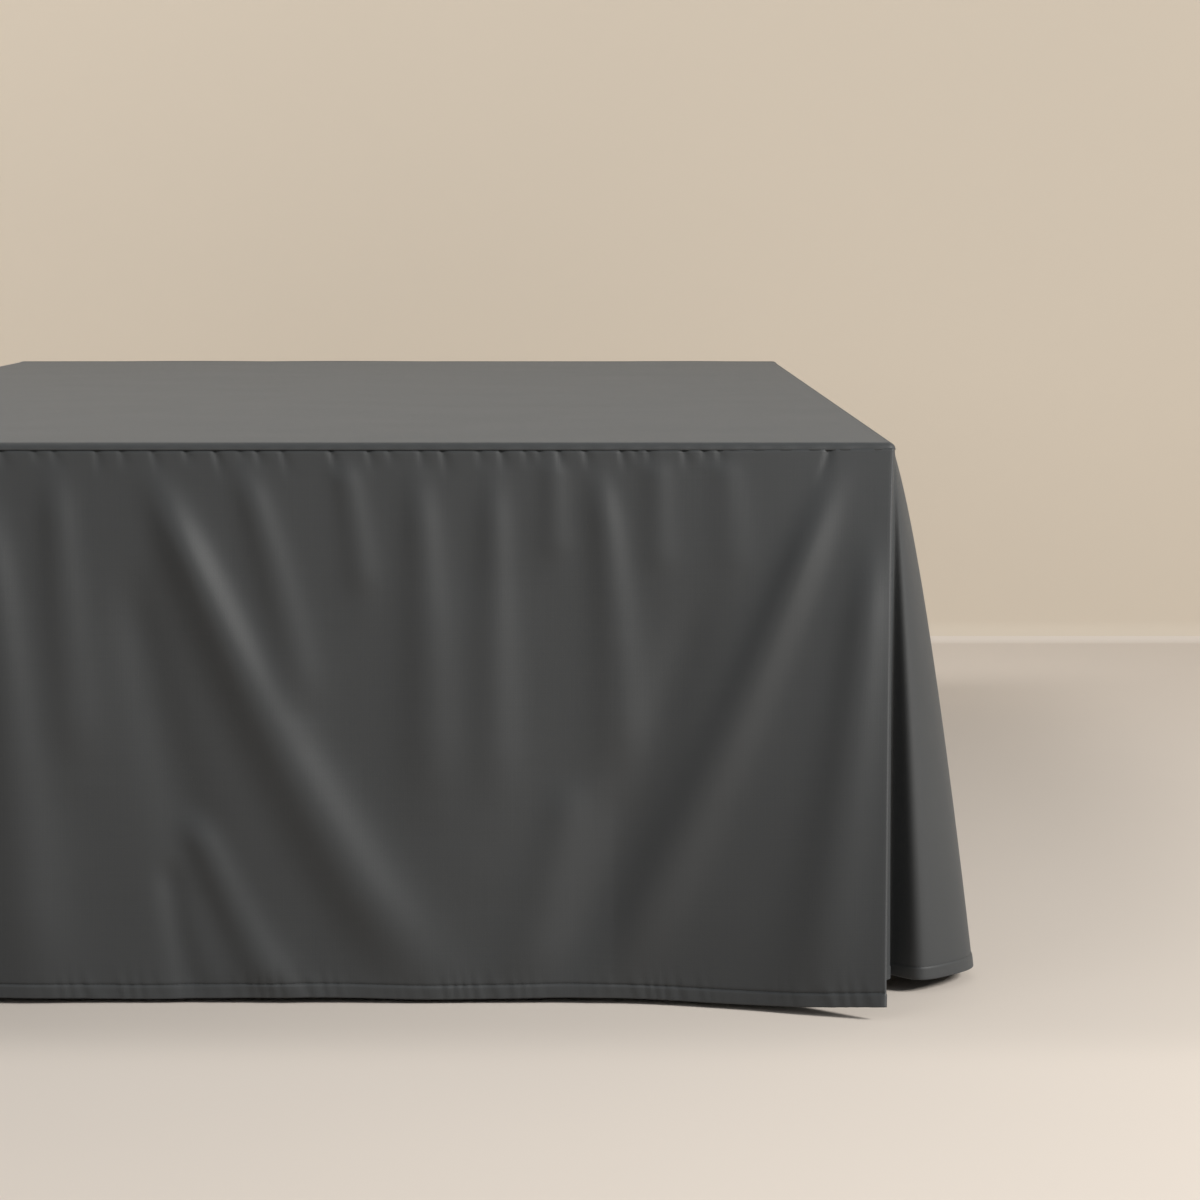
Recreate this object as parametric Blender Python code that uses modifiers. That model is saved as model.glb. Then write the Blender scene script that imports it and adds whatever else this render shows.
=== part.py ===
"""A three-sided bed skirt on the plain divan base that it dresses.

The cloth is a flat platform that lies on the base, with a foot panel and two side panels sewn to its
edge and hanging to just above the floor.  At each foot corner the foot panel folds back behind
itself, and the side panel comes out from behind that fold and flares round the corner of the base.

Metres, +Z up.  X runs across the bed, the foot panel faces -Y and the head end +Y.  The origin is on
the floor under the middle of the whole object.
"""

import math
from collections import namedtuple

import bmesh
import bpy
import numpy as np

# Divan base, a single bed.
BASE_WIDTH = 0.900
BASE_LENGTH = 1.900
BASE_TOP = 0.4045
BASE_BOTTOM = 0.050
BASE_CORNER = 0.030      # radius of its four upright corners
BASE_EDGE = 0.008        # radius of its top and bottom edges
LEG_INSET = 0.110        # from the base's faces to a leg's axis
LEG_TOP_RADIUS = 0.030
LEG_FOOT_RADIUS = 0.023
GAP = 0.0003             # between hard pieces that touch

# Where the base stands: the foot corners of the skirt kick forward, so the middle of the whole
# object is this far towards the foot end from the middle of the base.
BASE_Y = 0.0394
HALF_WIDTH = BASE_WIDTH / 2
FOOT_FACE_Y = BASE_Y - BASE_LENGTH / 2
HEAD_FACE_Y = BASE_Y + BASE_LENGTH / 2

# Cloth.  The three layers at a foot corner stand one behind the other: the foot panel, its folded
# return and the side panel's underlap.  A stand-off is from the base's face to the layer's middle.
CLOTH = 0.0012
LAYER = 0.0020
UNDERLAP_OFF = 0.0030
RETURN_OFF = UNDERLAP_OFF + LAYER
FOOT_OFF = RETURN_OFF + LAYER
SIDE_OFF = 0.0040
SEAM_Z = 0.400           # where the panels are sewn to the platform's edge
DROP = 0.396             # cloth from the seam to the hem
SEAM_GAP = 0.0005

# Platform: it lies on the base and its edge rolls down to the seam.
ROLL_RADIUS = 0.005
PLATFORM_CORNER = 0.009
PLATFORM_HEAD_INSET = 0.006

# Foot panel, and the kick of its two corners.
FOOT_HALF_WIDTH = HALF_WIDTH + 0.0015
RETURN_WIDTH = 0.100     # how far the panel folds back behind itself
KICK = 0.065             # how far the fold's lower end stands forward
KICK_IN = 0.0085         # and how far it has moved in
KICK_REACH = 0.200       # the kick dies away over this width of panel
KICK_CURVE = 1.3
FOOT_LEAN = 0.006        # the whole hem hangs this much further out than the seam
FLARE_CURVE = 0.72       # a flare opens fast below the seam and slower near the hem

# Numbers of steps in the sheets.
DROP_STEPS = 12
FOOT_HALF_STEPS = 25
FOLD_STEPS = 4
RETURN_STEPS = 3
SIDE_DROP_STEPS = 10

# Soft folds.  A ridge runs from one place on a panel to another.  "along" is the distance from the
# middle of the foot panel towards +X, or from the foot end of a side panel towards the head; "drop"
# is the distance below the seam; "bow" bends the line sideways at its middle; a height below zero is
# a trough; "width" is half the ridge's width at its start and at its end.
Fold = namedtuple("Fold", "along0 drop0 along1 drop1 bow height width0 width1")

FOOT_FOLDS = [
    Fold(-0.085, 0.000, 0.110, 0.400, -0.012, 0.0090, 0.014, 0.034),
    Fold(-0.110, 0.060, -0.020, 0.400, -0.010, -0.0045, 0.016, 0.040),
    Fold(-0.019, 0.000, 0.030, 0.190, 0.004, 0.0040, 0.010, 0.020),
    Fold(0.110, 0.000, 0.119, 0.250, 0.003, 0.0040, 0.011, 0.024),
    Fold(0.164, 0.000, 0.166, 0.260, 0.000, 0.0035, 0.011, 0.022),
    Fold(0.236, 0.000, 0.256, 0.230, 0.003, 0.0040, 0.010, 0.020),
    Fold(0.415, 0.000, 0.245, 0.400, 0.006, 0.0065, 0.012, 0.030),
    Fold(0.438, 0.060, 0.395, 0.410, 0.004, 0.0050, 0.012, 0.026),
    Fold(0.222, 0.220, 0.184, 0.400, 0.003, 0.0030, 0.016, 0.026),
    Fold(-0.052, 0.260, 0.010, 0.400, -0.004, 0.0050, 0.012, 0.022),
    Fold(-0.150, 0.000, -0.135, 0.230, 0.000, 0.0040, 0.011, 0.022),
    Fold(-0.205, 0.000, -0.168, 0.410, 0.005, 0.0065, 0.012, 0.030),
    Fold(-0.262, 0.000, -0.270, 0.240, 0.000, 0.0040, 0.011, 0.022),
    Fold(-0.318, 0.000, -0.300, 0.300, -0.004, 0.0045, 0.011, 0.024),
    Fold(-0.412, 0.000, -0.262, 0.400, -0.006, 0.0060, 0.012, 0.030),
    Fold(-0.438, 0.060, -0.400, 0.410, -0.004, 0.0050, 0.012, 0.026),
]

RIGHT_FOLDS = [
    Fold(0.190, 0.000, 0.215, 0.410, 0.004, 0.0060, 0.014, 0.030),
    Fold(0.300, 0.000, 0.338, 0.410, -0.005, 0.0085, 0.014, 0.034),
    Fold(0.412, 0.000, 0.425, 0.250, 0.000, 0.0045, 0.012, 0.024),
    Fold(0.520, 0.000, 0.478, 0.410, 0.006, 0.0090, 0.014, 0.036),
    Fold(0.640, 0.000, 0.652, 0.300, 0.004, 0.0050, 0.012, 0.026),
    Fold(0.742, 0.000, 0.790, 0.410, -0.006, 0.0085, 0.014, 0.034),
    Fold(0.880, 0.000, 0.872, 0.410, 0.004, 0.0060, 0.013, 0.030),
    Fold(1.010, 0.000, 0.958, 0.410, 0.005, 0.0095, 0.014, 0.036),
    Fold(1.120, 0.000, 1.135, 0.260, 0.000, 0.0045, 0.012, 0.024),
    Fold(1.228, 0.000, 1.260, 0.410, -0.004, 0.0080, 0.014, 0.034),
    Fold(1.362, 0.000, 1.340, 0.410, 0.006, 0.0070, 0.013, 0.032),
    Fold(1.470, 0.000, 1.482, 0.280, 0.000, 0.0050, 0.012, 0.026),
    Fold(1.590, 0.000, 1.560, 0.410, 0.005, 0.0090, 0.014, 0.036),
    Fold(1.700, 0.000, 1.728, 0.410, -0.004, 0.0065, 0.013, 0.030),
    Fold(1.820, 0.000, 1.812, 0.410, 0.002, 0.0060, 0.012, 0.028),
]

LEFT_FOLDS = [
    Fold(0.205, 0.000, 0.190, 0.410, 0.003, 0.0065, 0.014, 0.030),
    Fold(0.330, 0.000, 0.300, 0.410, 0.005, 0.0090, 0.014, 0.036),
    Fold(0.455, 0.000, 0.470, 0.300, 0.003, 0.0050, 0.012, 0.026),
    Fold(0.560, 0.000, 0.606, 0.410, -0.005, 0.0085, 0.014, 0.034),
    Fold(0.690, 0.000, 0.700, 0.410, 0.004, 0.0060, 0.013, 0.030),
    Fold(0.830, 0.000, 0.792, 0.410, 0.006, 0.0095, 0.014, 0.036),
    Fold(0.950, 0.000, 0.962, 0.260, 0.000, 0.0045, 0.012, 0.024),
    Fold(1.060, 0.000, 1.094, 0.410, -0.006, 0.0080, 0.014, 0.034),
    Fold(1.190, 0.000, 1.182, 0.410, 0.004, 0.0065, 0.013, 0.030),
    Fold(1.325, 0.000, 1.290, 0.410, 0.005, 0.0090, 0.014, 0.036),
    Fold(1.440, 0.000, 1.452, 0.280, 0.000, 0.0050, 0.012, 0.026),
    Fold(1.545, 0.000, 1.580, 0.410, -0.005, 0.0085, 0.014, 0.034),
    Fold(1.680, 0.000, 1.668, 0.410, 0.003, 0.0060, 0.013, 0.030),
    Fold(1.795, 0.000, 1.806, 0.410, 0.002, 0.0065, 0.012, 0.028),
]

# A side panel's upright lines, from the inner edge of its underlap to its hemmed end at the head.
# "out" is from the base's side face, outwards; "back" is from its foot face, towards the head;
# "rise" is how much the hem is lifted there; "steps" is the number of columns up to the next line.
Line = namedtuple("Line", "top_out top_back hem_out hem_back rise steps")

SIDE_LINES = [
    Line(-0.100, -UNDERLAP_OFF, -0.078, -0.0032, 0.006, 2),
    Line(-0.055, -UNDERLAP_OFF, -0.046, -0.0034, 0.007, 2),
    Line(-0.018, -UNDERLAP_OFF, -0.018, -0.0014, 0.008, 2),
    Line(-0.001, -0.0010, 0.0030, 0.0180, 0.008, 2),
    Line(SIDE_OFF, 0.008, 0.0050, 0.0400, 0.007, 2),
    Line(SIDE_OFF, 0.016, 0.0270, 0.0250, 0.006, 2),
    Line(SIDE_OFF, 0.030, 0.0510, 0.0450, 0.006, 2),
    Line(SIDE_OFF, 0.055, 0.0690, 0.0780, 0.005, 2),
    Line(SIDE_OFF, 0.090, 0.0700, 0.1140, 0.004, 2),
    Line(SIDE_OFF, 0.140, 0.0550, 0.1580, 0.003, 2),
    Line(SIDE_OFF, 0.200, 0.0380, 0.2100, 0.002, 2),
    Line(SIDE_OFF, 0.280, 0.0220, 0.2840, 0.001, 3),
    Line(SIDE_OFF, 0.400, 0.0130, 0.4000, 0.000, 6),
    Line(SIDE_OFF, 0.700, 0.0160, 0.7000, 0.000, 6),
    Line(SIDE_OFF, 1.000, 0.0120, 1.0000, 0.000, 6),
    Line(SIDE_OFF, 1.300, 0.0160, 1.3000, 0.000, 6),
    Line(SIDE_OFF, 1.600, 0.0130, 1.6000, 0.000, 6),
    Line(SIDE_OFF, 1.896, 0.0140, 1.8920, 0.000, 0),
]
FOLDS_START = 0.150      # a side panel's soft folds begin this far along it
FOLDS_FULL = 0.260

CLOTH_COLOUR = (0.062, 0.066, 0.068, 1.0)
BASE_COLOUR = (0.42, 0.40, 0.37, 1.0)
LEG_COLOUR = (0.030, 0.028, 0.026, 1.0)


def clear_scene():
    for thing in list(bpy.data.objects):
        bpy.data.objects.remove(thing)


def plain_material(name, colour, roughness):
    """A Principled BSDF of one colour; nothing on this object is metal."""
    material = bpy.data.materials.new(name)
    material.use_nodes = True
    shader = material.node_tree.nodes["Principled BSDF"]
    shader.inputs["Base Color"].default_value = colour
    shader.inputs["Roughness"].default_value = roughness
    shader.inputs["Metallic"].default_value = 0.0
    return material


def add_part(name, shape, collection, colour, roughness):
    """Turns a bmesh into an object of the collection, with its own material."""
    mesh = bpy.data.meshes.new(name)
    shape.to_mesh(mesh)
    shape.free()
    part = bpy.data.objects.new(name, mesh)
    mesh.materials.append(plain_material(name + "_finish", colour, roughness))
    collection.objects.link(part)
    return part


def soft_step(value):
    """0 below 0 and 1 above 1, with level ends."""
    share = np.clip(value, 0.0, 1.0)
    return share * share * (3.0 - 2.0 * share)


def relief(folds, along, drop):
    """How far the cloth stands out: each ridge is a bell across its line, faded at both ends."""
    total = np.zeros_like(along)
    for fold in folds:
        share = np.clip((drop - fold.drop0) / (fold.drop1 - fold.drop0), 0.0, 1.0)
        line = fold.along0 + (fold.along1 - fold.along0) * share + fold.bow * 4 * share * (1 - share)
        width = fold.width0 + (fold.width1 - fold.width0) * share
        strength = soft_step(share / 0.22) * soft_step((1.0 - share) / 0.30 + 0.35)
        ended = soft_step((fold.drop1 + 0.03 - drop) / 0.03)
        total += fold.height * strength * ended * np.exp(-(((along - line) / width) ** 2))
    return total


def sheet(name, columns, rows, place, collection):
    """Cloth: a grid whose points place(column, share of the drop) puts where the cloth hangs."""
    grid = bmesh.new()
    bmesh.ops.create_grid(grid, x_segments=columns, y_segments=rows, size=0.5)
    flat = np.array([tuple(vert.co) for vert in grid.verts])
    column = np.rint((flat[:, 0] + 0.5) * columns)
    points = np.column_stack(place(column, 0.5 - flat[:, 1]))
    for vert, point in zip(grid.verts, points):
        vert.co = point
    part = add_part(name, grid, collection, CLOTH_COLOUR, 0.62)
    part.data.shade_smooth()
    thicken(part)
    return part


def thicken(part):
    solid = part.modifiers.new("thickness", "SOLIDIFY")
    solid.thickness = CLOTH
    solid.offset = 0.0
    solid.use_even_offset = True


def build_base(collection):
    """The divan base: a box with round upright corners and eased edges."""
    box = bmesh.new()
    bmesh.ops.create_cube(box, size=1.0)
    height = BASE_TOP - BASE_BOTTOM
    bmesh.ops.scale(box, vec=(BASE_WIDTH, BASE_LENGTH, height), verts=box.verts)
    bmesh.ops.translate(box, vec=(0.0, BASE_Y, BASE_BOTTOM + height / 2), verts=box.verts)
    upright = [edge for edge in box.edges if abs(edge.verts[0].co.z - edge.verts[1].co.z) > height / 2]
    bmesh.ops.bevel(box, geom=upright, offset=BASE_CORNER, segments=8, profile=0.5, affect="EDGES")
    part = add_part("bed_base", box, collection, BASE_COLOUR, 0.85)
    part.data.shade_smooth()
    part.data.set_sharp_from_angle(angle=math.radians(35))
    edges = part.modifiers.new("eased edges", "BEVEL")
    edges.width = BASE_EDGE
    edges.segments = 3
    edges.limit_method = "ANGLE"
    edges.angle_limit = math.radians(50)


def build_legs(collection):
    """Six short turned legs under the base, three along each side."""
    height = BASE_BOTTOM - GAP
    rows = {
        "foot": FOOT_FACE_Y + LEG_INSET,
        "middle": BASE_Y,
        "head": HEAD_FACE_Y - LEG_INSET,
    }
    for place, y in rows.items():
        for side, sign in (("right", 1), ("left", -1)):
            turned = bmesh.new()
            bmesh.ops.create_cone(
                turned, cap_ends=True, segments=28,
                radius1=LEG_FOOT_RADIUS, radius2=LEG_TOP_RADIUS, depth=height,
            )
            bmesh.ops.translate(turned, vec=(0.0, 0.0, height / 2), verts=turned.verts)
            leg = add_part(f"leg_{place}_{side}", turned, collection, LEG_COLOUR, 0.45)
            leg.location = (sign * (HALF_WIDTH - LEG_INSET), y, 0.0)
            leg.data.shade_smooth()
            leg.data.set_sharp_from_angle(angle=math.radians(35))


def platform_edge():
    """Plan points of the platform's edge, from the head round both foot corners to the head again."""
    half = HALF_WIDTH + SIDE_OFF
    foot = FOOT_FACE_Y - FOOT_OFF
    radius = PLATFORM_CORNER
    turns = np.radians(np.linspace(0.0, 90.0, 6))
    right = [(half, HEAD_FACE_Y - PLATFORM_HEAD_INSET)]
    centre = (half - radius, foot + radius)
    right += [(centre[0] + radius * math.cos(a), centre[1] - radius * math.sin(a)) for a in turns]
    left = [(-x, y) for x, y in reversed(right)]
    points = np.array(right + left)
    outward = [(1.0, 0.0)] + [(math.cos(a), -math.sin(a)) for a in turns]
    outward += [(-x, y) for x, y in reversed(outward)]
    return points, np.array(outward)


def build_platform(collection):
    """The flat cloth on the base, with its edge rolled down to the seam on three sides."""
    points, outward = platform_edge()
    middle_z = BASE_TOP + GAP + CLOTH / 2
    turns = np.radians(np.linspace(0.0, 90.0, 5))
    profile = [(-0.004 - ROLL_RADIUS, middle_z)]
    profile += [(ROLL_RADIUS * (math.sin(a) - 1), middle_z - ROLL_RADIUS * (1 - math.cos(a))) for a in turns]
    profile += [(0.0, SEAM_Z + SEAM_GAP / 2)]
    edge = bmesh.new()
    rings = []
    for offset, z in profile:
        ring = points + outward * offset
        rings.append([edge.verts.new((x, y, z)) for x, y in ring])
    for inner, outer in zip(rings, rings[1:]):
        for k in range(len(inner) - 1):
            edge.faces.new((inner[k], outer[k], outer[k + 1], inner[k + 1]))
    edge.faces.new(list(reversed(rings[0])))
    bmesh.ops.recalc_face_normals(edge, faces=edge.faces)
    part = add_part("platform", edge, collection, CLOTH_COLOUR, 0.62)
    part.data.shade_smooth()
    thicken(part)


def corner_share(distance):
    """The kick of the foot panel's corner: 1 at the fold, 0 at KICK_REACH from it."""
    return np.clip(1.0 - distance / KICK_REACH, 0.0, 1.0) ** KICK_CURVE


def place_foot_panel(column, share):
    """The foot panel: its front, the tight fold at each corner, and the return behind it."""
    half = FOOT_HALF_STEPS + FOLD_STEPS + RETURN_STEPS
    steps = column - half
    side = np.where(steps < 0, -1.0, 1.0)
    steps = np.abs(steps)
    across = FOOT_HALF_WIDTH * np.clip(steps / FOOT_HALF_STEPS, 0.0, 1.0)
    turned = np.clip((steps - FOOT_HALF_STEPS) / FOLD_STEPS, 0.0, 1.0)
    returned = RETURN_WIDTH * np.clip((steps - FOOT_HALF_STEPS - FOLD_STEPS) / RETURN_STEPS, 0.0, 1.0)
    drop = DROP * share
    kick = corner_share(FOOT_HALF_WIDTH - across)

    out = across - KICK_IN * kick * share ** FLARE_CURVE
    forward = FOOT_OFF + (FOOT_LEAN + KICK * kick) * share
    forward += relief(FOOT_FOLDS, side * across, drop)
    start = -np.arctan(KICK * share * KICK_CURVE / KICK_REACH)
    edge_forward = FOOT_OFF + (FOOT_LEAN + KICK) * share
    end = math.pi - np.arcsin((edge_forward - RETURN_OFF - LAYER) / RETURN_WIDTH)
    heading = start + (end - start) * turned
    radius = LAYER / 2
    out += radius * (np.sin(heading) - np.sin(start)) + returned * np.cos(end)
    forward -= radius * (np.cos(start) - np.cos(heading)) + returned * np.sin(end)

    z = SEAM_Z - SEAM_GAP / 2 - drop * (1.0 - 0.5 * (KICK * kick / DROP) ** 2)
    return side * out, FOOT_FACE_Y - forward, z


def smooth_through(rows, shares):
    """Cubic curve through equally spaced rows; shares are counted in rows (0, 0.5, 1, ...)."""
    first = np.clip(np.floor(shares).astype(int), 0, len(rows) - 2)
    inside = (shares - first)[:, None]
    before, start = rows[np.maximum(first - 1, 0)], rows[first]
    end, after = rows[first + 1], rows[np.minimum(first + 2, len(rows) - 1)]
    leave, arrive = (end - before) / 2, (after - start) / 2
    return (
        (2 * inside**3 - 3 * inside**2 + 1) * start + (inside**3 - 2 * inside**2 + inside) * leave
        + (3 * inside**2 - 2 * inside**3) * end + (inside**3 - inside**2) * arrive
    )


def side_columns():
    """How many columns of cloth SIDE_LINES asks for, and where each one falls among its rows."""
    places = [k + i / line.steps for k, line in enumerate(SIDE_LINES) for i in range(line.steps)]
    return np.array(places + [len(SIDE_LINES) - 1.0])


def place_side_panel(side, folds):
    """Returns the placing function of a side panel: straight lines from the seam to the hem."""
    lines = np.array([line[:5] for line in SIDE_LINES])
    at_columns = smooth_through(lines, side_columns())

    def place(column, share):
        top_out, top_back, hem_out, hem_back, rise = at_columns[column.astype(int)].T
        opened = share ** FLARE_CURVE
        out = top_out + (hem_out - top_out) * opened
        back = top_back + (hem_back - top_back) * opened
        drop = DROP * share
        started = soft_step((back - FOLDS_START) / (FOLDS_FULL - FOLDS_START))
        out = out + relief(folds, back, drop) * started
        z = SEAM_Z - SEAM_GAP / 2 - drop + rise * share
        return side * (HALF_WIDTH + out), FOOT_FACE_Y + back, z

    return place


def build_skirt(collection):
    build_platform(collection)
    foot_columns = 2 * (FOOT_HALF_STEPS + FOLD_STEPS + RETURN_STEPS)
    sheet("foot_panel", foot_columns, DROP_STEPS, place_foot_panel, collection)
    side_count = len(side_columns()) - 1
    for name, side, folds in (("right", 1, RIGHT_FOLDS), ("left", -1, LEFT_FOLDS)):
        place = place_side_panel(side, folds)
        sheet(f"side_panel_{name}", side_count, SIDE_DROP_STEPS, place, collection)


def main():
    clear_scene()
    collection = bpy.data.collections.new("bed_skirt_on_base")
    bpy.context.scene.collection.children.link(collection)
    build_base(collection)
    build_legs(collection)
    build_skirt(collection)


main()
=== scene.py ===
import math
from collections import namedtuple

import bpy
import numpy as np
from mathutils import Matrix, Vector


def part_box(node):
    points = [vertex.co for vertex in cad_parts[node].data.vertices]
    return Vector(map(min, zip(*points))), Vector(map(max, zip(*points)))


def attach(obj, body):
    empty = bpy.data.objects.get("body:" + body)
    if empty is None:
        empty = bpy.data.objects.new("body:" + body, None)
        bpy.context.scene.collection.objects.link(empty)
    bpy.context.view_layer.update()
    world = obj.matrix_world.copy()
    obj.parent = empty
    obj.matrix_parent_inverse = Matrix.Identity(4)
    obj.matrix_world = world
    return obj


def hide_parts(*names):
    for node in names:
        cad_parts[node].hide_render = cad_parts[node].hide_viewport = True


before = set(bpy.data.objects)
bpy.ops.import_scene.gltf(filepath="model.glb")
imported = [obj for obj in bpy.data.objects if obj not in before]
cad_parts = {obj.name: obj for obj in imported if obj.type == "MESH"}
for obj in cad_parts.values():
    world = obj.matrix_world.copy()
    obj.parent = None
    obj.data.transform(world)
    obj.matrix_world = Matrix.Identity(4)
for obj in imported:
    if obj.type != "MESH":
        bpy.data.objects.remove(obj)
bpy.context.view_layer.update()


# ------------------------------------------------------------------------------------------------
# Divan base: a box covered in plain upholstery cloth. The skirt hides all of it but the head end.
# It is the frame's own shape, finished with a coarse plain weave in a warm grey.

class Wire:
    """A number on its way through a material's nodes; arithmetic on it adds Math nodes."""

    def __init__(self, tree, socket):
        self.tree = tree
        self.socket = socket

    def math(self, operation, *values):
        """The wire out of a Math node that works on wires and plain numbers."""
        node = self.tree.nodes.new("ShaderNodeMath")
        node.operation = operation
        for socket, value in zip(node.inputs, values):
            if isinstance(value, Wire):
                self.tree.links.new(value.socket, socket)
            else:
                socket.default_value = value
        return Wire(self.tree, node.outputs[0])

    def __add__(self, other):
        return self.math("ADD", self, other)

    def __radd__(self, other):
        return self.math("ADD", other, self)

    def __sub__(self, other):
        return self.math("SUBTRACT", self, other)

    def __rsub__(self, other):
        return self.math("SUBTRACT", other, self)

    def __mul__(self, other):
        return self.math("MULTIPLY", self, other)

    def __rmul__(self, other):
        return self.math("MULTIPLY", other, self)

    def sine(self):
        return self.math("SINE", self)


class Finish:
    """A Principled material; node() adds any other node from its type, settings and inputs."""

    def __init__(self, name, constants):
        self.material = bpy.data.materials.new(name)
        self.material.use_nodes = True
        self.tree = self.material.node_tree
        self.shader = self.tree.nodes["Principled BSDF"]
        for socket, value in constants.items():
            self.shader.inputs[socket].default_value = value

    def node(self, kind, settings=None, inputs=None):
        made = self.tree.nodes.new("ShaderNode" + kind)
        for name, value in (settings or {}).items():
            setattr(made, name, value)
        for name, value in (inputs or {}).items():
            self.feed(made.inputs[name], value)
        return made

    def feed(self, socket, value):
        """Joins a wire or a node's output to a socket, or sets the socket to a constant."""
        if isinstance(value, Wire):
            value = value.socket
        if isinstance(value, bpy.types.NodeSocket):
            self.tree.links.new(value, socket)
        else:
            socket.default_value = value

    def noise(self, vector, scale, detail=2.0, roughness=0.5):
        """Soft noise from 0 to 1 at a vector."""
        inputs = {"Vector": vector, "Scale": scale, "Detail": detail, "Roughness": roughness}
        return Wire(self.tree, self.node("TexNoise", inputs=inputs).outputs["Fac"])

    def stretched(self, vector, scale):
        """The vector with its parts scaled, so that a pattern on it is drawn out one way."""
        return self.node("Mapping", inputs={"Vector": vector, "Scale": scale}).outputs["Vector"]

    def parts(self, vector):
        """The three parts of a vector, each as a Wire."""
        split = self.node("SeparateXYZ", inputs={"Vector": vector})
        return [Wire(self.tree, socket) for socket in split.outputs]

    def mix(self, factor, dark, light):
        """A colour between two others; the Mix node's colour sockets are its seventh and eighth."""
        blend = self.node("Mix", {"data_type": "RGBA"})
        self.feed(blend.inputs[0], factor)
        self.feed(blend.inputs[6], dark)
        self.feed(blend.inputs[7], light)
        return blend.outputs[2]

    def bump(self, height, distance):
        """Relief of the surface: height from 0 to 1 stands for so many metres."""
        inputs = {"Height": height, "Distance": distance, "Strength": 1.0}
        self.feed(self.shader.inputs["Normal"], self.node("Bump", inputs=inputs).outputs["Normal"])


def plain_upholstery():
    """A coarse plain weave: two crossed rows of threads, and slubs that shade it."""
    finish = Finish("base_upholstery", {"Roughness": 0.88, "Sheen Weight": 0.15})
    place = finish.node("TexCoord").outputs["Object"]
    x, y, z = finish.parts(place)
    thread = 2 * math.pi / 0.0016
    weave = ((x + y) * thread).sine() * (z * thread).sine() * 0.5 + 0.5
    slubs = finish.noise(finish.stretched(place, (60, 60, 9)), 8.0, detail=4.0)
    shade = finish.mix(weave * 0.35 + slubs * 0.65, (0.24, 0.225, 0.205, 1), (0.47, 0.45, 0.42, 1))
    finish.feed(finish.shader.inputs["Base Color"], shade)
    finish.bump(weave * 0.6 + slubs * 0.4, 0.0006)
    return finish.material


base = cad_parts["bed_base"]
base.data.materials.clear()
base.data.materials.append(plain_upholstery())


# ------------------------------------------------------------------------------------------------
# Legs: six short turned feet of dark stained wood, screwed to the underside of the base. They are
# the frame's own shapes, with grain that runs up them.

def stained_wood():
    """Dark stain over upright grain: noise drawn out along Z."""
    finish = Finish("stained_wood", {"Roughness": 0.42, "Coat Weight": 0.25, "Coat Roughness": 0.3})
    place = finish.node("TexCoord").outputs["Object"]
    grain = finish.noise(finish.stretched(place, (1, 1, 0.08)), 260.0, detail=5.0, roughness=0.6)
    shade = finish.mix(grain, (0.012, 0.009, 0.007, 1), (0.060, 0.040, 0.028, 1))
    finish.feed(finish.shader.inputs["Base Color"], shade)
    finish.feed(finish.shader.inputs["Roughness"], grain * 0.25 + 0.32)
    finish.bump(grain, 0.0003)
    return finish.material


wood = stained_wood()
for name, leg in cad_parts.items():
    if name.startswith("leg_"):
        leg.data.materials.clear()
        leg.data.materials.append(wood)


# ------------------------------------------------------------------------------------------------
# Skirt cloth: a dark slate percale, a close plain weave of cotton and polyester with a faint satin
# sheen. Every piece carries a UV map in metres of cloth, so the threads follow its folds.

THREAD = 0.0009
CLOTH_THICK = 0.0007
HEM_THICK = 0.0016
HEM = 0.0100


def slate_percale():
    """Two crossed sines for the threads, noise drawn out along each thread for slubs, and a slow cloud."""
    finish = Finish("slate_percale", {
        "Roughness": 0.58, "Specular IOR Level": 0.50, "Sheen Weight": 0.10, "Sheen Roughness": 0.45,
        "Sheen Tint": (0.75, 0.85, 0.95, 1),
    })
    cloth = finish.node("UVMap", {"uv_map": "cloth"}).outputs["UV"]
    across, down, _ = finish.parts(cloth)
    turn = 2 * math.pi / THREAD
    weave = (across * turn).sine() * (down * turn).sine() * 0.5 + 0.5
    warp = finish.noise(finish.stretched(cloth, (900, 14, 1)), 1.0, detail=2.0)
    weft = finish.noise(finish.stretched(cloth, (14, 900, 1)), 1.0, detail=2.0)
    cloudy = finish.noise(cloth, 9.0, detail=3.0)
    tone = warp * 0.3 + weft * 0.3 + cloudy * 0.4
    shade = finish.mix(tone, (0.023, 0.0252, 0.0265, 1), (0.039, 0.0418, 0.0438, 1))
    finish.feed(finish.shader.inputs["Base Color"], shade)
    finish.feed(finish.shader.inputs["Roughness"], tone * 0.16 + 0.50)
    finish.bump(weave * 0.4 + warp * 0.3 + weft * 0.3, 0.00012)
    return finish.material


percale = slate_percale()


def soft_step(value):
    """0 below 0 and 1 above 1, with level ends."""
    share = np.clip(value, 0.0, 1.0)
    return share * share * (3.0 - 2.0 * share)


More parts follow.
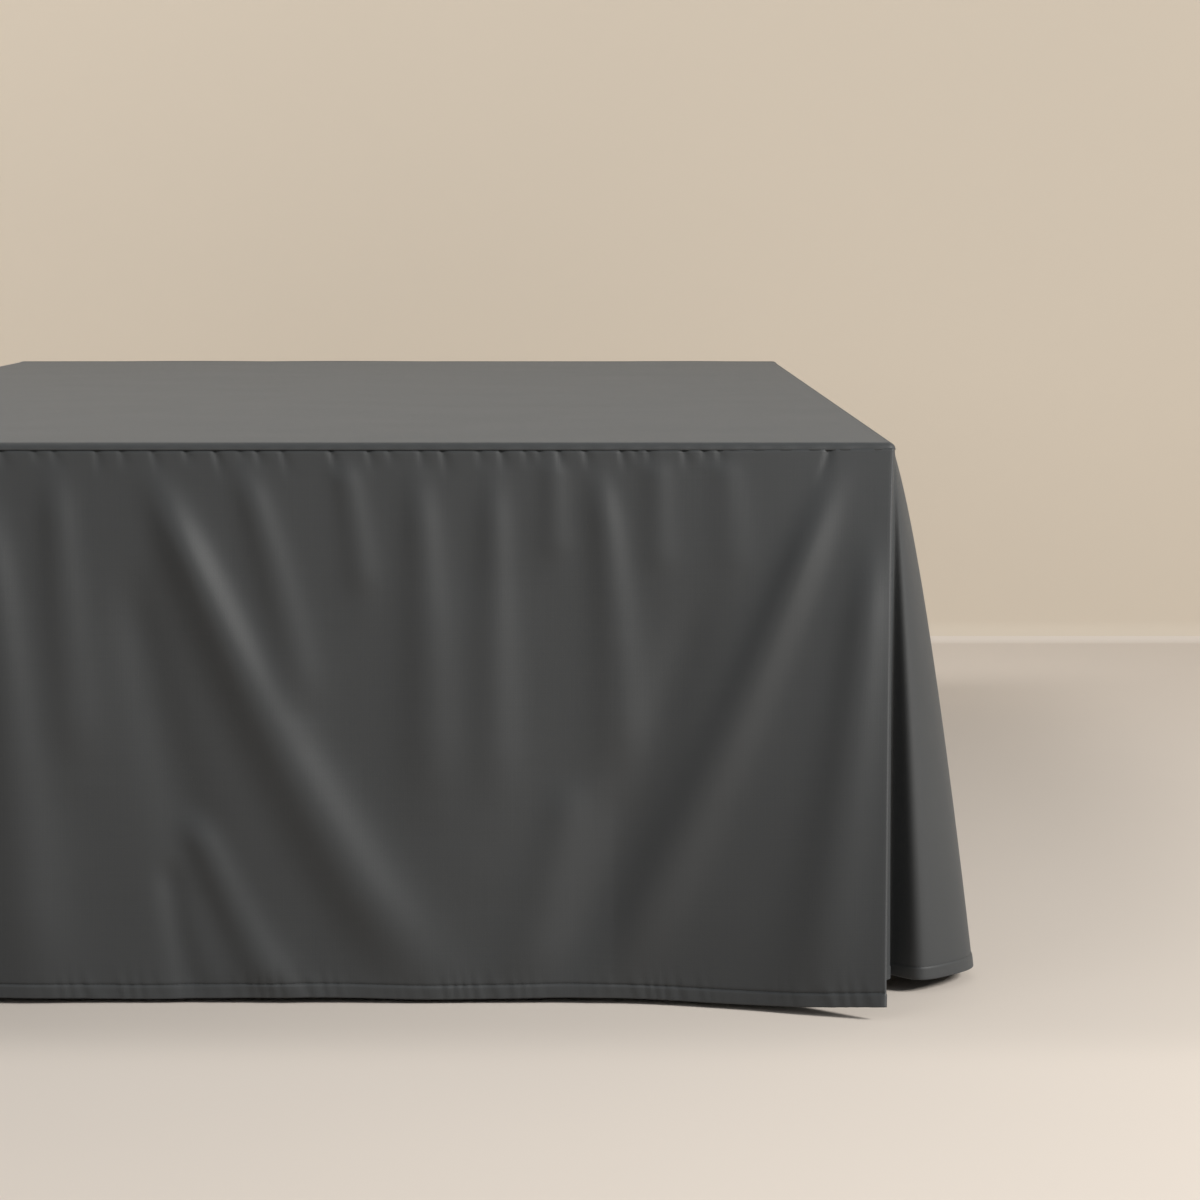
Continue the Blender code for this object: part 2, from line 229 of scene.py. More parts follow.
def woven(name, points, across, down, hemmed):
    """A cloth piece from a grid of points (rows, columns, 3): quads, a UV map in metres of cloth, and
    a thickness that grows where hemmed, a number from 0 to 1 at each point, says the cloth is doubled."""
    rows, columns = points.shape[:2]
    number = np.arange(rows * columns).reshape(rows, columns)
    quads = np.stack([number[:-1, :-1], number[1:, :-1], number[1:, 1:], number[:-1, 1:]], axis=-1)
    quads = quads.reshape(-1, 4)
    mesh = bpy.data.meshes.new(name)
    mesh.from_pydata(points.reshape(-1, 3), [], quads.tolist())
    places = np.stack(np.broadcast_arrays(across, down), axis=-1).reshape(-1, 2)
    layer = mesh.uv_layers.new(name="cloth")
    layer.uv.foreach_set("vector", places[quads.ravel()].astype(np.float32).ravel())
    mesh.shade_smooth()
    mesh.materials.append(percale)
    piece = bpy.data.objects.new(name, mesh)
    bpy.context.scene.collection.objects.link(piece)
    group = piece.vertex_groups.new(name="hem")
    weight = np.broadcast_to(hemmed, (rows, columns)).ravel()
    group.add([int(k) for k in np.flatnonzero(weight > 0.5)], 1.0, "REPLACE")
    solid = piece.modifiers.new("thickness", "SOLIDIFY")
    solid.thickness = HEM_THICK
    solid.thickness_vertex_group = CLOTH_THICK / HEM_THICK
    solid.vertex_group = "hem"
    solid.offset = 0.0
    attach(piece, "root")
    return piece


# ------------------------------------------------------------------------------------------------
# Platform: the flat cloth that lies on the base under the mattress. Its edge rolls over the base's
# rim on three sides down to the seam, and its head edge is a plain doubled hem.

base_low, base_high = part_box("bed_base")
HALF_WIDTH = base_high[0]
FOOT_FACE = base_low[1]
HEAD_FACE = base_high[1]
SEAM_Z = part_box("foot_panel")[1][2]
PLATFORM_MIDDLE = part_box("platform")[1][2] - 0.0006
ROLL = 0.005
SIDE_OFF = 0.0040
FOOT_OFF = 0.0070


def platform_points(x_lines, y_lines):
    """A flat grid whose outer strips roll down: past the roll's start a point goes round a quarter
    circle and then straight down; at a corner the strips become a small quarter dome."""
    x, y = np.meshgrid(x_lines, y_lines)
    start_x = HALF_WIDTH + SIDE_OFF - ROLL
    start_y = FOOT_FACE - FOOT_OFF + ROLL
    side = np.sign(x)
    past_x = np.clip(np.abs(x) - start_x, 0, None)
    past_y = np.clip(start_y - y, 0, None)
    past = np.maximum(past_x, past_y)
    with np.errstate(divide="ignore", invalid="ignore"):
        low = np.where(past > 0, np.minimum(past_x, past_y) / past, 0)
    angle = np.where(past_x >= past_y, low * math.pi / 4, math.pi / 2 - low * math.pi / 4)
    turn = np.clip(past / ROLL, 0, math.pi / 2)
    out = ROLL * np.sin(turn)
    down = ROLL * (1 - np.cos(turn)) + np.clip(past - ROLL * math.pi / 2, 0, None)
    ripple = 0.0003 * np.sin(2 * math.pi * (x / 0.021 + 0.4 * np.sin(x / 0.05))) * soft_step(past / ROLL)
    out = out + np.where(past_y > 0, ripple, 0)
    slack = 0.0005 * np.sin(x / 0.061 + 1.3 * np.sin(y / 0.17)) * np.sin(y / 0.083 + 0.8 * np.sin(x / 0.11))
    slack *= soft_step((HALF_WIDTH - 0.02 - np.abs(x)) / 0.08) * soft_step((y - FOOT_FACE - 0.02) / 0.08)
    z = PLATFORM_MIDDLE - down + np.abs(slack)
    return np.stack([
        np.where(past_x > 0, side * start_x, x) + side * out * np.cos(angle) * (past > 0),
        np.where(past_y > 0, start_y, y) - out * np.sin(angle) * (past > 0),
        z,
    ], axis=-1)


strip = ROLL * math.pi / 2 + (PLATFORM_MIDDLE - ROLL - SEAM_Z) - 0.0004
inner_x = HALF_WIDTH + SIDE_OFF - ROLL
inner_y = FOOT_FACE - FOOT_OFF + ROLL
roll_lines = np.linspace(0, strip, 8)[1:]
flat_lines = np.linspace(-inner_x, inner_x, 201)
x_lines = np.concatenate([-inner_x - roll_lines[::-1], flat_lines, inner_x + roll_lines])
y_lines = np.concatenate([
    inner_y - roll_lines[::-1], np.linspace(inner_y, HEAD_FACE - 0.0175, 131),
    HEAD_FACE - np.array([0.0160, 0.0140, 0.0120, 0.0090, 0.0060]),
])
platform_grid = platform_points(x_lines, y_lines)
head_hem = (y_lines > HEAD_FACE - 0.0165)[:, None] * np.ones((1, len(x_lines)))
platform = woven("platform_cloth", platform_grid[::-1], x_lines[None, :], y_lines[::-1, None],
                 head_hem[::-1])
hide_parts("platform")


# ------------------------------------------------------------------------------------------------
# Foot panel: the cloth that hangs at the foot end, gathered a little into the seam. At each corner
# it folds back behind itself and its lower end kicks forward over the pleat's layers.

DROP = 0.396
LAYER = 0.0020
RETURN_OFF = 0.0050
FOOT_HALF = HALF_WIDTH + 0.0015
RETURN_WIDTH = 0.100
KICK = 0.065
KICK_IN = 0.0085
KICK_REACH = 0.200
KICK_CURVE = 1.3
FOOT_LEAN = 0.006
FLARE_CURVE = 0.72

# A ridge runs from one place to another: "along" is from the panel's middle towards +X (on a side
# panel from its foot end towards the head), "drop" is below the seam, "bow" bends it sideways, a
# height below zero is a trough, and the widths are half widths at its start and its end.
Fold = namedtuple("Fold", "along0 drop0 along1 drop1 bow height width0 width1")

FOOT_FOLDS = [
    Fold(-0.084, 0.000, 0.112, 0.385, -0.012, 0.0100, 0.012, 0.033),
    Fold(-0.096, 0.070, -0.010, 0.380, -0.014, -0.0046, 0.014, 0.030),
    Fold(-0.018, 0.000, 0.030, 0.190, 0.004, 0.0042, 0.010, 0.018),
    Fold(0.056, 0.000, 0.072, 0.105, 0.002, 0.0030, 0.009, 0.013),
    Fold(0.110, 0.000, 0.119, 0.250, 0.003, 0.0044, 0.010, 0.022),
    Fold(0.142, 0.080, 0.138, 0.330, 0.000, 0.0026, 0.030, 0.044),
    Fold(0.166, 0.000, 0.167, 0.260, 0.000, 0.0038, 0.009, 0.020),
    Fold(0.208, 0.000, 0.210, 0.080, 0.000, 0.0022, 0.008, 0.012),
    Fold(0.239, 0.000, 0.257, 0.235, 0.004, 0.0046, 0.009, 0.021),
    Fold(0.283, 0.000, 0.285, 0.090, 0.000, 0.0022, 0.009, 0.013),
    Fold(0.331, 0.000, 0.338, 0.090, 0.001, 0.0018, 0.010, 0.016),
    Fold(0.419, 0.000, 0.244, 0.400, 0.007, 0.0078, 0.011, 0.028),
    Fold(0.322, 0.080, 0.216, 0.390, 0.004, -0.0034, 0.016, 0.026),
    Fold(0.441, 0.050, 0.397, 0.400, 0.005, 0.0062, 0.011, 0.028),
    Fold(0.224, 0.230, 0.186, 0.385, 0.002, 0.0034, 0.014, 0.024),
    Fold(-0.055, 0.255, 0.012, 0.396, -0.004, 0.0062, 0.012, 0.020),
    Fold(-0.070, 0.290, -0.050, 0.400, -0.003, -0.0030, 0.009, 0.013),
    Fold(-0.150, 0.000, -0.135, 0.230, 0.000, 0.0042, 0.010, 0.020),
    Fold(-0.205, 0.000, -0.168, 0.410, 0.005, 0.0068, 0.011, 0.030),
    Fold(-0.236, 0.000, -0.240, 0.100, 0.000, 0.0024, 0.008, 0.013),
    Fold(-0.262, 0.000, -0.270, 0.240, 0.000, 0.0042, 0.010, 0.020),
    Fold(-0.318, 0.000, -0.300, 0.300, -0.004, 0.0046, 0.010, 0.022),
    Fold(-0.362, 0.000, -0.358, 0.110, 0.000, 0.0024, 0.009, 0.014),
    Fold(-0.412, 0.000, -0.262, 0.400, -0.006, 0.0064, 0.011, 0.029),
    Fold(-0.438, 0.050, -0.400, 0.400, -0.004, 0.0056, 0.011, 0.026),
]

# Gathers are short notches under the seam: where each starts, how far it reaches and how deep it is.
Gather = namedtuple("Gather", "along reach lean depth")

FOOT_GATHERS = [
    Gather(-0.079, 0.022, 0.006, 0.0016), Gather(-0.055, 0.014, 0.003, 0.0018),
    Gather(-0.034, 0.026, 0.007, 0.0020), Gather(-0.016, 0.010, 0.002, 0.0012),
    Gather(-0.004, 0.016, 0.004, 0.0018), Gather(0.014, 0.024, 0.006, 0.0016),
    Gather(0.049, 0.022, 0.006, 0.0020), Gather(0.076, 0.020, 0.004, 0.0016),
    Gather(0.091, 0.014, 0.003, 0.0014), Gather(0.113, 0.018, 0.003, 0.0016),
    Gather(0.129, 0.024, 0.004, 0.0018), Gather(0.155, 0.016, 0.002, 0.0014),
    Gather(0.171, 0.020, 0.003, 0.0018), Gather(0.188, 0.016, 0.003, 0.0014),
    Gather(0.198, 0.014, 0.002, 0.0012), Gather(0.212, 0.018, 0.003, 0.0018),
    Gather(0.231, 0.020, 0.004, 0.0018), Gather(0.257, 0.022, 0.004, 0.0016),
    Gather(0.267, 0.012, 0.002, 0.0012), Gather(0.276, 0.016, 0.002, 0.0014),
    Gather(0.302, 0.020, 0.003, 0.0016), Gather(0.316, 0.012, 0.001, 0.0014),
    Gather(0.327, 0.016, 0.002, 0.0014), Gather(0.406, 0.030, -0.008, 0.0022),
] + [
    Gather(-0.101 - 0.0218 * k + 0.005 * math.sin(2.3 * k), 0.018 + 0.006 * math.sin(1.7 * k), 0.003,
           0.0016 + 0.0004 * math.sin(3.1 * k))
    for k in range(15)
]


def ridges(folds, along, drop):
    """Sum of the folds: each is a bell across its line, faded at both of its ends."""
    total = np.zeros(np.broadcast(along, drop).shape)
    for fold in folds:
        share = np.clip((drop - fold.drop0) / (fold.drop1 - fold.drop0), 0.0, 1.0)
        line = fold.along0 + (fold.along1 - fold.along0) * share + fold.bow * 4 * share * (1 - share)
        width = fold.width0 + (fold.width1 - fold.width0) * share
        strength = soft_step(share / 0.22) * soft_step((1.0 - share) / 0.30 + 0.35)
        ended = soft_step((fold.drop1 + 0.03 - drop) / 0.03)
        total += fold.height * strength * ended * np.exp(-(((along - line) / width) ** 2))
    return total


def notches(gathers, along, drop):
    """Sum of the gathers: each is steep on one side and eased on the other, and fades downwards."""
    total = np.zeros(np.broadcast(along, drop).shape)
    for gather in gathers:
        share = drop / gather.reach
        beyond = along - gather.along - gather.lean * share
        eased = np.exp(-((beyond / (0.0030 + 0.006 * share)) ** 2))
        steep = np.exp(-((beyond / (0.0013 + 0.002 * share)) ** 2))
        total += gather.depth * np.where(beyond > 0, eased, steep) * np.clip(1 - share, 0, 1) ** 1.5
    return total


def hem_relief(along, drop, edge):
    """The stitched hem: a groove under the thread, and puckers that the stitching draws up. They cross
    the hem's band and fade within a centimetre above it."""
    above = (edge - HEM) - drop
    slow = 0.35 * np.sin(along * 133.0) + 0.5 * np.sin(along * 36.7 + 1.0)
    turn = 2 * math.pi * ((along + 0.25 * above) / 0.0112 + slow)
    ripple = np.sin(turn) + 0.35 * np.sin(2 * turn + 1.3 * np.sin(along * 70.0))
    size = 0.00042 * (0.6 + 0.4 * np.sin(along * 47.0 + 0.7))
    puckers = size * ripple * np.where(above > 0, np.exp(-np.abs(above) / 0.006), 0.85)
    groove = -0.0006 * np.exp(-((above / 0.0009) ** 2))
    band = 0.0003 * soft_step(-above / 0.0010)
    return puckers * soft_step((0.02 - above) / 0.01) + groove + band


def corner_share(distance):
    """The kick of a corner: 1 at the fold, 0 at KICK_REACH from it."""
    return np.clip(1.0 - distance / KICK_REACH, 0.0, 1.0) ** KICK_CURVE


def foot_shape(front, turned, returned, drop):
    """The foot panel at a distance front from its middle, a share turned of the corner fold, and a
    distance returned behind it. The lower end leans out; the fold is a half circle a layer wide."""
    side = np.sign(front)
    across = np.abs(front)
    share = drop / DROP
    kick = corner_share(FOOT_HALF - across)
    out = across - KICK_IN * kick * share ** FLARE_CURVE
    forward = FOOT_OFF + (FOOT_LEAN + KICK * kick) * share
    forward = forward + ridges(FOOT_FOLDS, front, drop) - notches(FOOT_GATHERS, front, drop)
    forward = forward + hem_relief(front, drop, DROP) * (turned == 0)
    start = -np.arctan(KICK * share * KICK_CURVE / KICK_REACH)
    edge_forward = FOOT_OFF + (FOOT_LEAN + KICK) * share
    end = math.pi - np.arcsin((edge_forward - RETURN_OFF - LAYER) / RETURN_WIDTH)
    heading = start + (end - start) * turned
    radius = LAYER / 2
    out = out + radius * (np.sin(heading) - np.sin(start)) + returned * np.cos(end)
    forward = forward - radius * (np.cos(start) - np.cos(heading)) - returned * np.sin(end)
    lift = 0.0020 * np.exp(-(FOOT_HALF - across) / 0.09) * (1 - share)
    wave = 0.0006 * np.sin(front * 29.0 + 0.8) * soft_step((share - 0.8) / 0.2)
    z = SEAM_Z + lift - drop * (1.0 - 0.5 * (KICK * kick / DROP) ** 2) + wave
    return np.stack(np.broadcast_arrays(side * out, FOOT_FACE - forward, z), axis=-1)


def hung_rows(step):
    """Distances below the seam: close rows under it for the gathers and at the hem for its stitching."""
    line = DROP - HEM
    hem = line + np.array([-0.008, -0.006, -0.0045, -0.003, -0.002, -0.0012, -0.0005, 0.0, 0.0005,
                           0.0012, 0.002, 0.0035, 0.005, 0.0065, 0.008, 0.009, 0.010])
    top = np.linspace(0, 0.030, 14)
    middle = np.linspace(0.030, line - 0.012, int((line - 0.042) / step))
    return np.concatenate([top, middle[1:], hem])


def foot_columns(spacing):
    """Columns of the whole foot panel: (front, turned, returned), from the left return to the right."""
    count = int(FOOT_HALF / spacing)
    front = np.linspace(0, FOOT_HALF, count + 1)[1:]
    turned = np.linspace(0, 1, 7)[1:]
    returned = np.linspace(0, RETURN_WIDTH, 17)[1:]
    half = np.concatenate([
        np.stack([front, 0 * front, 0 * front], axis=1),
        np.stack([FOOT_HALF + 0 * turned, turned, 0 * turned], axis=1),
        np.stack([FOOT_HALF + 0 * returned, 1 + 0 * returned, returned], axis=1),
    ])
    mirrored = half[::-1] * (-1, 1, 1)
    return np.concatenate([mirrored, [[1e-9, 0, 0]], half])


drops = hung_rows(0.0058)[:, None]
front, turned, returned = foot_columns(0.0021).T[:, None, :]
foot_grid = foot_shape(front, turned, returned, drops)
foot_cloth_across = front + np.sign(front) * (turned * 0.003 + returned)
foot_cloth = woven("foot_panel_cloth", foot_grid, foot_cloth_across, -drops,
                   (drops > DROP - HEM + 0.0006) * np.ones_like(front))
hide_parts("foot_panel")


# ------------------------------------------------------------------------------------------------
# Hem stitching: one row of lockstitch in thread of the cloth's own colour, painted darker all along as
# shade where it sinks into the hem's groove. Each stitch is a slim bead that lies in the hem's groove.

STITCH = 0.0024
PITCH = 0.0032
THREAD_RADIUS = 0.00022


def thread_painted_dark():
    """Fine noise that stands for the twist of the sewing thread, over colours painted darker than the
    cloth's as shade of the hem's groove.
    """
    finish = Finish("slate_thread_shade_painted", {"Roughness": 0.6, "Sheen Weight": 0.1})
    place = finish.node("TexCoord").outputs["Object"]
    twist = finish.noise(place, 1800.0, detail=1.0)
    # Painted shade: the thread's colours are darker than the cloth's to stand in for the shade of the
    # groove it lies in.
    shade = finish.mix(twist, (0.009, 0.010, 0.011, 1), (0.020, 0.021, 0.022, 1))
    finish.feed(finish.shader.inputs["Base Color"], shade)
    finish.bump(twist, 0.0001)
    return finish.material


thread = thread_painted_dark()


def stitches(name, line, outward):
    """A bead on every PITCH of a line of points: rings of six round the line's direction, thinner
    towards the bead's ends, standing on the cloth along outward."""
    lengths = np.concatenate([[0], np.cumsum(np.linalg.norm(np.diff(line, axis=0), axis=1))])
    centres = np.arange(PITCH / 2, lengths[-1] - PITCH / 2, PITCH)
    middle = np.stack([np.interp(centres, lengths, line[:, k]) for k in range(3)], axis=1)
    ahead = np.stack([np.interp(centres + 0.0005, lengths, line[:, k]) for k in range(3)], axis=1)
    up = np.stack([np.interp(centres, lengths, outward[:, k]) for k in range(3)], axis=1)
    tangent = ahead - middle
    tangent /= np.linalg.norm(tangent, axis=1, keepdims=True)
    across = np.cross(up, tangent)
    across /= np.linalg.norm(across, axis=1, keepdims=True)
    up = np.cross(tangent, across)
    reach = np.array([-0.5, -0.38, 0.0, 0.38, 0.5]) * STITCH
    radius = np.array([0.25, 0.8, 1.0, 0.8, 0.25]) * THREAD_RADIUS
    angles = np.linspace(0, 2 * math.pi, 6, endpoint=False)
    ring = (np.cos(angles)[:, None] * across[:, None, None, :]
            + np.sin(angles)[:, None] * up[:, None, None, :])
    points = (middle[:, None, None, :] + reach[:, None, None] * tangent[:, None, None, :]
              + radius[:, None, None] * ring)
    bead = []
    for k in range(4):
        for j in range(6):
            bead.append((k * 6 + j, k * 6 + (j + 1) % 6, (k + 1) * 6 + (j + 1) % 6, (k + 1) * 6 + j))
    faces = (np.array(bead)[None] + 30 * np.arange(len(centres))[:, None, None]).reshape(-1, 4).tolist()
    for first in range(0, 30 * len(centres), 30):
        faces.append([first + j for j in range(5, -1, -1)])
        faces.append([first + 24 + j for j in range(6)])
    mesh = bpy.data.meshes.new(name)
    mesh.from_pydata(points.reshape(-1, 3), [], faces)
    mesh.shade_smooth()
    mesh.materials.append(thread)
    piece = bpy.data.objects.new(name, mesh)
    bpy.context.scene.collection.objects.link(piece)
    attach(piece, "root")
    return piece


def stitch_line(points, below):
    """The outward direction of a sheet along a line, from the line and the same line a little below."""
    along = np.gradient(points, axis=0)
    outward = np.cross(along, below - points)
    outward /= np.linalg.norm(outward, axis=1, keepdims=True)
    return outward


hem_front = np.linspace(-FOOT_HALF + 0.001, FOOT_HALF - 0.001, 3000)
hem_line = foot_shape(hem_front, 0.0, 0.0, DROP - HEM)
hem_out = -stitch_line(hem_line, foot_shape(hem_front, 0.0, 0.0, DROP - HEM + 0.002))
if hem_out[:, 1].mean() > 0:
    hem_out = -hem_out
foot_stitches = stitches("foot_hem_stitches", hem_line + hem_out * (CLOTH_THICK / 2), hem_out)


# ------------------------------------------------------------------------------------------------
# Side panels: each comes out from behind the foot panel's return, flares round the base's corner and
# hangs along the side in soft gathered folds. The far end and the bottom edge are hemmed.

RIGHT_FOLDS = [
    Fold(0.190, 0.000, 0.215, 0.410, 0.004, 0.0060, 0.014, 0.030),
    Fold(0.300, 0.000, 0.338, 0.410, -0.005, 0.0085, 0.014, 0.034),
    Fold(0.412, 0.000, 0.425, 0.250, 0.000, 0.0045, 0.012, 0.024),
    Fold(0.520, 0.000, 0.478, 0.410, 0.006, 0.0090, 0.014, 0.036),
    Fold(0.640, 0.000, 0.652, 0.300, 0.004, 0.0050, 0.012, 0.026),
    Fold(0.742, 0.000, 0.790, 0.410, -0.006, 0.0085, 0.014, 0.034),
    Fold(0.880, 0.000, 0.872, 0.410, 0.004, 0.0060, 0.013, 0.030),
    Fold(1.010, 0.000, 0.958, 0.410, 0.005, 0.0095, 0.014, 0.036),
    Fold(1.120, 0.000, 1.135, 0.260, 0.000, 0.0045, 0.012, 0.024),
    Fold(1.228, 0.000, 1.260, 0.410, -0.004, 0.0080, 0.014, 0.034),
    Fold(1.362, 0.000, 1.340, 0.410, 0.006, 0.0070, 0.013, 0.032),
    Fold(1.470, 0.000, 1.482, 0.280, 0.000, 0.0050, 0.012, 0.026),
    Fold(1.590, 0.000, 1.560, 0.410, 0.005, 0.0090, 0.014, 0.036),
    Fold(1.700, 0.000, 1.728, 0.410, -0.004, 0.0065, 0.013, 0.030),
    Fold(1.820, 0.000, 1.812, 0.410, 0.002, 0.0060, 0.012, 0.028),
]

LEFT_FOLDS = [
    Fold(0.205, 0.000, 0.190, 0.410, 0.003, 0.0065, 0.014, 0.030),
    Fold(0.330, 0.000, 0.300, 0.410, 0.005, 0.0090, 0.014, 0.036),
    Fold(0.455, 0.000, 0.470, 0.300, 0.003, 0.0050, 0.012, 0.026),
    Fold(0.560, 0.000, 0.606, 0.410, -0.005, 0.0085, 0.014, 0.034),
    Fold(0.690, 0.000, 0.700, 0.410, 0.004, 0.0060, 0.013, 0.030),
    Fold(0.830, 0.000, 0.792, 0.410, 0.006, 0.0095, 0.014, 0.036),
    Fold(0.950, 0.000, 0.962, 0.260, 0.000, 0.0045, 0.012, 0.024),
    Fold(1.060, 0.000, 1.094, 0.410, -0.006, 0.0080, 0.014, 0.034),
    Fold(1.190, 0.000, 1.182, 0.410, 0.004, 0.0065, 0.013, 0.030),
    Fold(1.325, 0.000, 1.290, 0.410, 0.005, 0.0090, 0.014, 0.036),
    Fold(1.440, 0.000, 1.452, 0.280, 0.000, 0.0050, 0.012, 0.026),
    Fold(1.545, 0.000, 1.580, 0.410, -0.005, 0.0085, 0.014, 0.034),
    Fold(1.680, 0.000, 1.668, 0.410, 0.003, 0.0060, 0.013, 0.030),
    Fold(1.795, 0.000, 1.806, 0.410, 0.002, 0.0065, 0.012, 0.028),
]

# A side panel's upright lines, from the inner edge of its underlap to its hemmed end at the head.
# "out" is from the base's side face, outwards; "back" is from its foot face, towards the head;
# "rise" is how much the hem is lifted there.
Line = namedtuple("Line", "top_out top_back hem_out hem_back rise")
UNDERLAP_OFF = 0.0030

SIDE_LINES = [
    Line(-0.100, -UNDERLAP_OFF, -0.078, -0.0032, 0.006),
    Line(-0.055, -UNDERLAP_OFF, -0.046, -0.0034, 0.007),
    Line(-0.018, -UNDERLAP_OFF, -0.018, -0.0014, 0.008),
    Line(-0.001, -0.0010, 0.0030, 0.0180, 0.008),
    Line(SIDE_OFF, 0.008, 0.0050, 0.0400, 0.007),
    Line(SIDE_OFF, 0.016, 0.0270, 0.0250, 0.006),
    Line(SIDE_OFF, 0.030, 0.0510, 0.0450, 0.006),
    Line(SIDE_OFF, 0.055, 0.0690, 0.0780, 0.005),
    Line(SIDE_OFF, 0.090, 0.0700, 0.1140, 0.004),
    Line(SIDE_OFF, 0.140, 0.0550, 0.1580, 0.003),
    Line(SIDE_OFF, 0.200, 0.0380, 0.2100, 0.002),
    Line(SIDE_OFF, 0.280, 0.0220, 0.2840, 0.001),
    Line(SIDE_OFF, 0.400, 0.0130, 0.4000, 0.000),
    Line(SIDE_OFF, 0.700, 0.0160, 0.7000, 0.000),
    Line(SIDE_OFF, 1.000, 0.0120, 1.0000, 0.000),
    Line(SIDE_OFF, 1.300, 0.0160, 1.3000, 0.000),
    Line(SIDE_OFF, 1.600, 0.0130, 1.6000, 0.000),
    Line(SIDE_OFF, 1.896, 0.0140, 1.8920, 0.000),
]


def smooth_through(rows, shares):
    """Cubic curve through equally spaced rows; shares are counted in rows (0, 0.5, 1, ...)."""
    first = np.clip(np.floor(shares).astype(int), 0, len(rows) - 2)
    inside = (shares - first)[:, None]
    before, start = rows[np.maximum(first - 1, 0)], rows[first]
    end, after = rows[first + 1], rows[np.minimum(first + 2, len(rows) - 1)]
    leave, arrive = (end - before) / 2, (after - start) / 2
    return (
        (2 * inside**3 - 3 * inside**2 + 1) * start + (inside**3 - 2 * inside**2 + inside) * leave
        + (3 * inside**2 - 2 * inside**3) * end + (inside**3 - inside**2) * arrive
    )


SIDE_TABLE = np.array(SIDE_LINES)
FOLDS_START = 0.150
FOLDS_GROW = 0.110


def side_gathers(seed):
    """Gathers along a side panel's seam, 14 to 30 mm apart."""
    chance = np.random.default_rng(seed)
    along = np.cumsum(chance.uniform(0.014, 0.030, 78)) + 0.10
    return [Gather(a, chance.uniform(0.012, 0.026), chance.uniform(0.001, 0.006), 0.0013)
            for a in along if a < 1.87]


def side_shape(side, folds, gathers, places, drop):
    """A side panel at a place counted in SIDE_LINES rows and a drop below the seam: straight lines from
    the seam to the hem, with the folds and gathers added outwards beyond the corner."""
    top_out, top_back, hem_out, hem_back, rise = smooth_through(SIDE_TABLE, places).T
    share = drop / DROP
    opened = share ** FLARE_CURVE
    out = top_out + (hem_out - top_out) * opened
    back = top_back + (hem_back - top_back) * opened
    started = soft_step((back - FOLDS_START) / FOLDS_GROW)
    out = out + (ridges(folds, back, drop) - notches(gathers, back, drop) * 0.7) * started
    out = out + hem_relief(back, drop, DROP) * soft_step((back - 0.06) / 0.05)
    z = SEAM_Z - drop + rise * share + np.zeros_like(out)
    return np.stack([side * (HALF_WIDTH + out), FOOT_FACE + back, z], axis=-1)


hem_step = np.linalg.norm(np.diff(SIDE_TABLE[:, 2:4], axis=0), axis=1)
top_step = np.linalg.norm(np.diff(SIDE_TABLE[:, 0:2], axis=0), axis=1)
side_places = np.concatenate([
    k + np.arange(count) / count
    for k, count in enumerate(np.maximum(6, np.ceil(np.maximum(hem_step, top_step) / 0.0044)).astype(int))
] + [[len(SIDE_TABLE) - 1.0]])
side_drops = hung_rows(0.0072)[:, None]

for name, side, folds, seed in (("right", 1, RIGHT_FOLDS, 7), ("left", -1, LEFT_FOLDS, 11)):
    gathers = side_gathers(seed)
    side_grid = side_shape(side, folds, gathers, side_places, side_drops)
    hem_run = np.linalg.norm(np.diff(side_grid[-1], axis=0), axis=1)
    cloth_along = np.concatenate([[0], np.cumsum(hem_run)])
    doubled = (side_drops > DROP - HEM + 0.0006) | (cloth_along > cloth_along[-1] - 0.012)[None, :]
    panel = woven(f"side_panel_{name}_cloth", side_grid[:, ::side], cloth_along[None, ::side], -side_drops,
                  doubled[:, ::side])
    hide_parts(f"side_panel_{name}")
    seam_places = np.linspace(4.0, len(SIDE_TABLE) - 1.02, 4000)
    stitched = side_shape(side, folds, gathers, seam_places, DROP - HEM)
    outward = stitch_line(stitched, side_shape(side, folds, gathers, seam_places, DROP - HEM + 0.002))
    if (outward[:, 0] * side).mean() < 0:
        outward = -outward
    sewn = stitches(f"side_hem_stitches_{name}", stitched + outward * (CLOTH_THICK / 2), outward)


# ------------------------------------------------------------------------------------------------
# Room: a warm pale floor and wall, one painted sheet with a small cove where they meet.

def painted(name, colour):
    """A matt paint whose shade drifts by a few hundredths over a metre or so."""
    finish = Finish(name, {"Roughness": 0.9, "Specular IOR Level": 0.2})
    place = finish.node("TexCoord").outputs["Object"]
    patches = finish.noise(place, 1.4, detail=2.0)
    darker = tuple(0.96 * value for value in colour) + (1,)
    finish.feed(finish.shader.inputs["Base Color"], finish.mix(patches, darker, colour + (1,)))
    return finish.material


def swept(name, profile, half_width, material):
    """A sheet with the same profile of (y, z) points at both of its ends."""
    points = [(x, y, z) for y, z in profile for x in (-half_width, half_width)]
    faces = [(2 * k, 2 * k + 1, 2 * k + 3, 2 * k + 2) for k in range(len(profile) - 1)]
    mesh = bpy.data.meshes.new(name)
    mesh.from_pydata(points, [], faces)
    mesh.materials.append(material)
    mesh.shade_smooth()
    piece = bpy.data.objects.new(name, mesh)
    bpy.context.scene.collection.objects.link(piece)


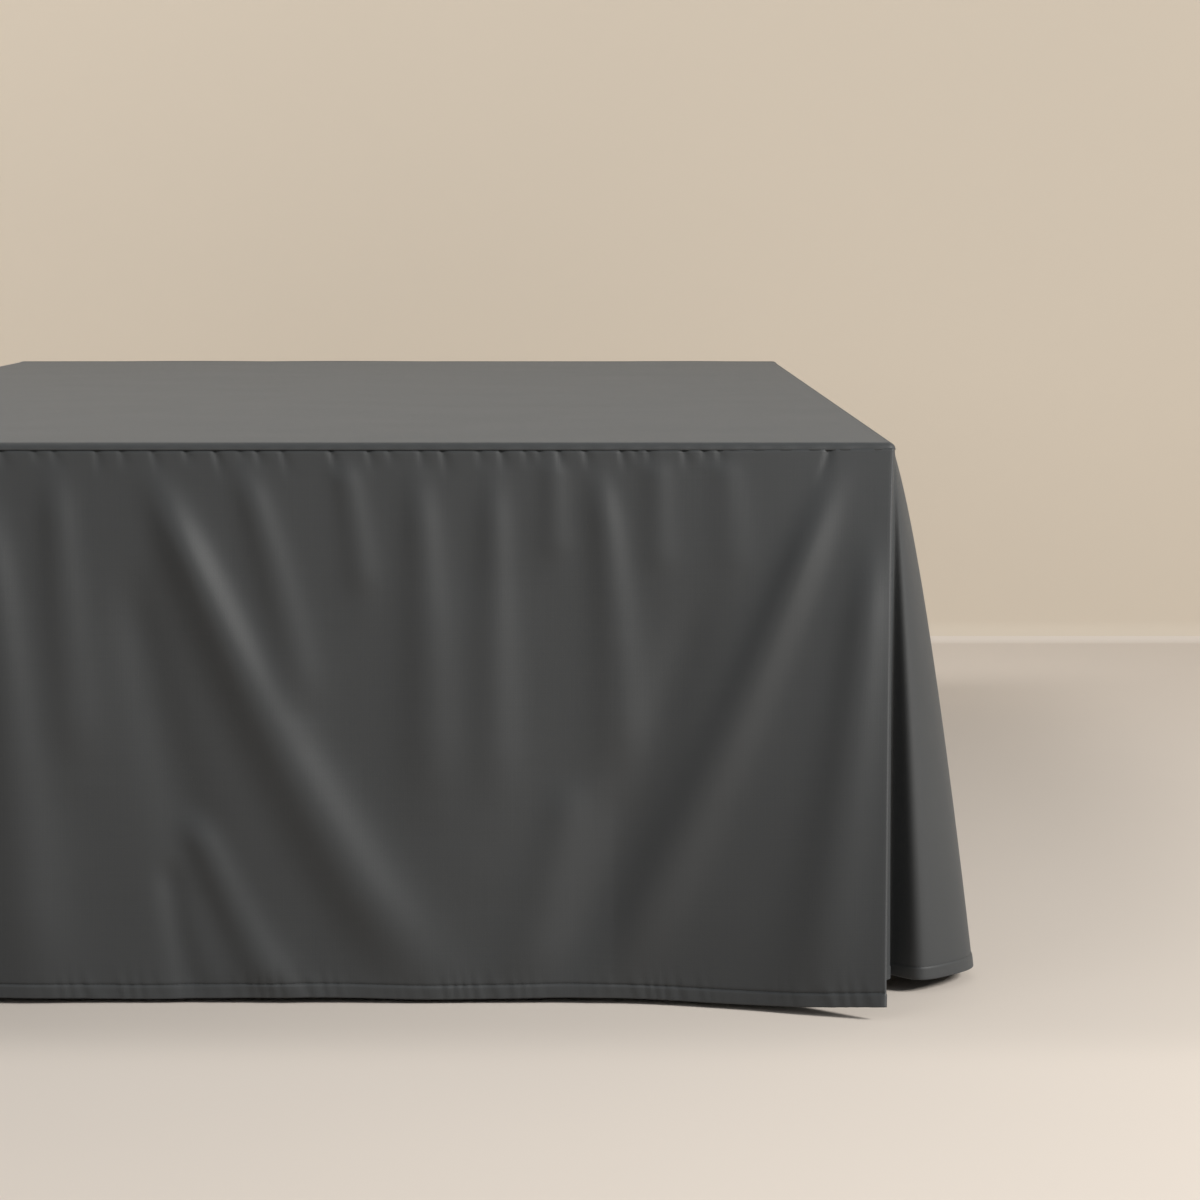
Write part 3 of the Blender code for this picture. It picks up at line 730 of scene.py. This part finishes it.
WALL_Y = 1.65
COVE = 0.03
ROOM_HALF = 6.0
turns = np.linspace(0, math.pi / 2, 9)
cove = [(WALL_Y - COVE + COVE * math.sin(a), COVE - COVE * math.cos(a)) for a in turns]
floor_profile = [(-ROOM_HALF, 0.0), (-2.0, 0.0), (0.0, 0.0)] + cove[:5]
wall_profile = cove[4:] + [(WALL_Y, 1.0), (WALL_Y, 4.0)]
swept("floor", floor_profile, ROOM_HALF, painted("floor_paint", (0.64, 0.58, 0.52)))
swept("wall", wall_profile, ROOM_HALF, painted("wall_paint", (0.60, 0.53, 0.44)))


# ------------------------------------------------------------------------------------------------
# Light: a soft key from the upper right in front, a weak fill from the left, a wash on the wall, and
# a warm grey surround. The camera stands in front of the foot end with a long lens.

def area_light(name, place, target, size, watts, colour):
    light = bpy.data.lights.new(name, "AREA")
    light.energy = watts
    light.size = size
    light.color = colour
    lamp = bpy.data.objects.new(name, light)
    lamp.location = place
    lamp.rotation_euler = (Vector(target) - Vector(place)).to_track_quat("-Z", "Y").to_euler()
    bpy.context.scene.collection.objects.link(lamp)


area_light("key", (3.0, -2.3, 1.9), (0.2, -0.9, 0.3), 1.0, 150.0, (1.0, 0.98, 0.95))
area_light("fill", (-1.6, -3.4, 1.4), (0.0, -0.9, 0.3), 1.6, 14.0, (1.0, 0.98, 0.95))
area_light("wall_wash", (-1.6, 0.0, 2.6), (-0.9, 1.65, 0.6), 1.2, 40.0, (1.0, 0.97, 0.93))

world = bpy.data.worlds.new("surround")
world.use_nodes = True
world.node_tree.nodes["Background"].inputs["Color"].default_value = (0.94, 0.97, 1.0, 1.0)
world.node_tree.nodes["Background"].inputs["Strength"].default_value = 0.36
bpy.context.scene.world = world

lens = bpy.data.cameras.new("camera")
lens.lens = 117.5
lens.sensor_width = 36.0
camera = bpy.data.objects.new("camera", lens)
camera.location = (0.2422, -3.7205, 0.5489)
camera.rotation_euler = (math.pi / 2 - 0.0912, 0.0, 0.0)
bpy.context.scene.collection.objects.link(camera)
bpy.context.scene.camera = camera
bpy.context.scene.view_settings.view_transform = "Standard"
